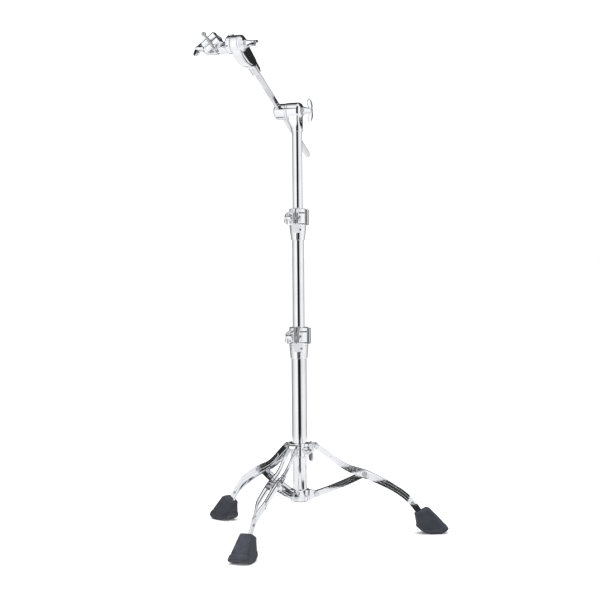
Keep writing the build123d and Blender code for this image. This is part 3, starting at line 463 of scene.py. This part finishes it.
# degrees from the gap's middle, and how bright the studio is there
WALL_LEVELS = (
    (-152, 0.13), (-120, 0.44), (-75, 0.84), (-45, 0.95), (-29, 0.90), (-23, 0.60), (-19, 0.012),
    (19, 0.012), (23, 0.50), (31, 0.68), (60, 0.88), (100, 0.80), (130, 0.42), (155, 0.14),
)
# low and high edge as the sine of elevation, and softness
CEILING_GAP = (0.077, 0.90, 0.006)
CEILING_SEAM = (0.68, 0.70, 0.012)
# half turns from the gap's middle, over which the one fades in and the other fades out
CEILING_GAP_FROM, CEILING_SEAM_UNTIL = (0.46, 0.56), (0.45, 0.55)

# painted dark reflections: black cards on the floor that only reflections see, corners in plan (m)
PAINTED_REFLECTION_CARDS = {
    "card_front": ((0.15, -0.87), (0.53, -0.70), (0.99, -1.31), (0.29, -1.63)),
    "card_right": (
        (0.50, -0.02), (0.74, -0.02), (0.72, -0.13), (0.68, -0.28),
        (0.62, -0.36), (0.60, -0.46), (0.55, -0.46), (0.50, -0.33),
    ),
    "card_right_near": ((0.33, -0.04), (0.35, -0.09), (0.40, -0.15), (0.435, -0.135), (0.41, -0.03)),
    "card_right_brace": ((0.415, -0.445), (0.44, -0.49), (0.585, -0.56), (0.588, -0.51), (0.47, -0.43)),
    "card_right_far": ((0.60, -0.60), (0.64, -0.70), (0.68, -0.69), (0.66, -0.61)),
    "card_left": (
        (-0.70, -0.005), (-0.95, -0.025), (-1.06, -0.045), (-1.20, -0.065),
        (-1.50, -0.10), (-1.50, -0.26), (-0.70, -0.12),
    ),
    "card_left_near": ((-0.53, -0.01), (-0.53, -0.08), (-0.62, -0.08), (-0.62, -0.01)),
    "card_back": ((0.21, 0.43), (0.23, 0.47), (0.26, 0.52), (0.275, 0.51), (0.245, 0.45), (0.225, 0.42)),
    "card_under_boom": ((-0.375, 0.02), (-0.375, 0.12), (-0.385, 0.30), (-0.43, 0.30), (-0.425, 0.02)),
    "card_back_far": ((0.40, 1.08), (0.60, 1.04), (0.80, 1.9), (0.50, 2.0)),
}
CARD_HEIGHT = 0.0015


def disc_object(name, radius, height):
    """Flat round stage piece lying at a height."""
    mesh = bpy.data.meshes.new(name)
    shape = bmesh.new()
    bmesh.ops.create_circle(shape, cap_ends=True, radius=radius, segments=96)
    bmesh.ops.translate(shape, verts=shape.verts, vec=(0.0, 0.0, height))
    shape.to_mesh(mesh)
    shape.free()
    piece = bpy.data.objects.new(name, mesh)
    bpy.context.scene.collection.objects.link(piece)
    return piece


def only_reflections(piece):
    """The piece shows in reflections, and nowhere else."""
    piece.visible_camera = False
    piece.visible_diffuse = False
    piece.visible_shadow = False
    piece.visible_transmission = False


def reflected_floor():
    """The floor as the chrome sees it, a glowing disc of painted reflection: pale, darker at the column
    with painted shadow, shaded like the walls further out.
    """
    piece = disc_object("studio_floor_painted_reflection", REFLECTED_FLOOR_R, REFLECTED_FLOOR_HEIGHT)
    only_reflections(piece)
    material = bpy.data.materials.new("studio_floor_painted_reflection")
    material.use_nodes = True
    tree = material.node_tree
    tree.nodes.clear()
    place = add_node(tree, "ShaderNodeTexCoord").outputs["Object"]
    reach = add_node(tree, "ShaderNodeVectorMath", {0: place}, operation="LENGTH").outputs["Value"]
    # painted shadow: the reflected floor darkens towards the column
    shade = add_node(tree, "ShaderNodeValToRGB", {"Fac": remap(tree, reach, 0.0, 1.0, 0.0, 1.0)})
    ramp = shade.color_ramp
    for element, (distance, level) in zip(ramp.elements, (FLOOR_SHADES[0], FLOOR_SHADES[-1])):
        element.position, element.color = distance, grey(level)
    for distance, level in FLOOR_SHADES[1:-1]:
        ramp.elements.new(distance).color = grey(level)
    walls = wall_shade(tree, wall_bearing(tree, place)[0])
    colour = mix_colour(tree, remap(tree, reach, *WALLS_TAKE_OVER, 0.0, 1.0), shade.outputs["Color"], walls)
    glow = add_node(tree, "ShaderNodeEmission", {"Color": colour, "Strength": FLOOR_GLOW})
    output = add_node(tree, "ShaderNodeOutputMaterial")
    tree.links.new(glow.outputs[0], output.inputs["Surface"])
    piece.data.materials.append(material)


def studio_floor():
    """Large plain pale floor, which reflections don't see."""
    floor = disc_object("studio_floor", FLOOR_R, 0.0)
    floor.visible_glossy = False
    material, tree, shader = new_material("studio_floor")
    cloud = noise(tree, 3.0, detail=2.0)
    pale = mix_colour(tree, cloud, rgba(0.88, 0.88, 0.88), rgba(0.90, 0.90, 0.90))
    tree.links.new(pale, shader.inputs["Base Color"])
    shader.inputs["Roughness"].default_value = 0.9
    shader.inputs["Specular IOR Level"].default_value = 0.1
    floor.data.materials.append(material)


def band(tree, value, low, high, soft):
    """1 where value lies between low and high, 0 outside, with soft edges."""
    rise = remap(tree, value, low - soft, low + soft, 0.0, 1.0)
    fall = remap(tree, value, high - soft, high + soft, 1.0, 0.0)
    return math(tree, "MULTIPLY", rise, fall)


def wall_bearing(tree, direction):
    """Half turns from the dark gap's middle, and the direction's height as the sine of its elevation."""
    settings = {"Vector": direction, "Angle": -GAP_BEARING}
    turned = add_node(tree, "ShaderNodeVectorRotate", settings, rotation_type="Z_AXIS")
    parts = add_node(tree, "ShaderNodeSeparateXYZ", {"Vector": turned.outputs["Vector"]})
    half_turns = math(tree, "DIVIDE", math(tree, "ARCTAN2", parts.outputs["Y"], parts.outputs["X"]), pi)
    return half_turns, parts.outputs["Z"]


def wall_shade(tree, half_turns):
    """Colour of the studio walls at a bearing."""
    walls = add_node(tree, "ShaderNodeValToRGB", {"Fac": remap(tree, half_turns, -1.0, 1.0, 0.0, 1.0)})
    ramp = walls.color_ramp
    for end in (0, 1):
        ramp.elements[end].position = float(end)
        ramp.elements[end].color = grey(WALL_BEHIND)
    for bearing, level in WALL_LEVELS:
        ramp.elements.new(0.5 + bearing / 360.0).color = grey(level)
    return walls.outputs["Color"]


def studio_walls(tree):
    """Colour of the studio in each direction: walls by bearing from the gap, and dark strips by height."""
    direction = add_node(tree, "ShaderNodeTexCoord").outputs["Generated"]
    half_turns, height = wall_bearing(tree, direction)
    away = math(tree, "ABSOLUTE", half_turns, 0.0)
    behind = remap(tree, away, *CEILING_GAP_FROM, 0.0, 1.0)
    ceiling = math(tree, "MULTIPLY", band(tree, height, *CEILING_GAP), behind)
    in_front = remap(tree, away, *CEILING_SEAM_UNTIL, 1.0, 0.0)
    seam = math(tree, "MULTIPLY", band(tree, height, *CEILING_SEAM), in_front)
    dark = math(tree, "MAXIMUM", ceiling, seam)
    return mix_colour(tree, dark, wall_shade(tree, half_turns), grey(0.02))


def grey(level):
    """Nearly neutral colour at a level, a touch cool."""
    return (level * 0.985, level * 0.995, level, 1.0)


def studio_world():
    """White studio with dark gaps that only the chrome's reflections see."""
    world = bpy.data.worlds.new("studio")
    world.use_nodes = True
    tree = world.node_tree
    tree.nodes.clear()
    reflected = add_node(tree, "ShaderNodeBackground", {"Color": studio_walls(tree), "Strength": WALL_GLOW})
    even = add_node(tree, "ShaderNodeBackground", {"Color": rgba(1.0, 1.0, 1.0), "Strength": WORLD_GLOW})
    rays = add_node(tree, "ShaderNodeLightPath")
    both = add_node(tree, "ShaderNodeMixShader")
    tree.links.new(rays.outputs["Is Glossy Ray"], both.inputs[0])
    tree.links.new(even.outputs[0], both.inputs[1])
    tree.links.new(reflected.outputs[0], both.inputs[2])
    output = add_node(tree, "ShaderNodeOutputWorld")
    tree.links.new(both.outputs[0], output.inputs["Surface"])
    bpy.context.scene.world = world


def floor_card(name, corners):
    """A flat black card lying on the floor, seen by reflections alone: a painted dark reflection."""
    mesh = bpy.data.meshes.new(name)
    mesh.from_pydata([(x, y, CARD_HEIGHT) for x, y in corners], [], [range(len(corners))])
    card = bpy.data.objects.new(name, mesh)
    bpy.context.scene.collection.objects.link(card)
    mesh.materials.append(PAINTED_REFLECTION_MATERIAL)
    only_reflections(card)


def card_material():
    """Matt black card, the colour of the painted dark reflections."""
    material, tree, shader = new_material("painted_reflection_card")
    cloud = noise(tree, 5.0)
    tree.links.new(mix_colour(tree, cloud, grey(0.010), grey(0.016)), shader.inputs["Base Color"])
    shader.inputs["Roughness"].default_value = 0.9
    shader.inputs["Specular IOR Level"].default_value = 0.1
    return material


PAINTED_REFLECTION_MATERIAL = card_material()


def soft_box(name, place, aim, size, power):
    """Area light that lights the floor and the object without showing in the chrome."""
    data = bpy.data.lights.new(name, "AREA")
    data.shape = "RECTANGLE"
    data.size, data.size_y = size
    data.energy = power
    lamp = bpy.data.objects.new(name, data)
    lamp.location = place
    lamp.rotation_euler = (Vector(aim) - Vector(place)).to_track_quat("-Z", "Y").to_euler()
    lamp.visible_glossy = False
    bpy.context.scene.collection.objects.link(lamp)


def studio_lights():
    """Broad light from above, and a smaller one from the front left of the camera's view."""
    soft_box("overhead", place=(0.3, -0.2, 3.2), aim=(0, 0, 0.3), size=(3.0, 3.0), power=60.0)
    soft_box("key", place=(-1.9, -1.8, 1.8), aim=(0, 0, 0.4), size=(1.2, 1.6), power=16.0)


def studio_camera():
    """The camera of the photo, as fitted to the feet and the column."""
    data = bpy.data.cameras.new("camera")
    data.lens, data.sensor_width = LENS, SENSOR
    camera = bpy.data.objects.new("camera", data)
    place = Vector((sin(VIEW_AZIMUTH) * VIEW_DISTANCE, -cos(VIEW_AZIMUTH) * VIEW_DISTANCE, VIEW_HEIGHT))
    turn = Matrix.Rotation(VIEW_AZIMUTH - VIEW_AIM, 4, "Z") @ Matrix.Rotation(pi / 2 - VIEW_PITCH, 4, "X")
    camera.matrix_world = Matrix.Translation(place) @ turn @ Matrix.Rotation(VIEW_ROLL, 4, "Z")
    bpy.context.scene.collection.objects.link(camera)
    bpy.context.scene.camera = camera


# ---------------------------------------------------------------- build
dress_cad_nodes()
for leg in (1, 2, 3):
    rubber_foot(leg)
for wing_name in WING_NUTS:
    cast_wing_nut(wing_name)
studio_floor()
reflected_floor()
studio_world()
# painted dark reflections: black cards that only the chrome sees
for card_name, card_corners in PAINTED_REFLECTION_CARDS.items():
    floor_card(card_name, card_corners)
studio_lights()
studio_camera()
bpy.context.scene.view_settings.view_transform = "Standard"
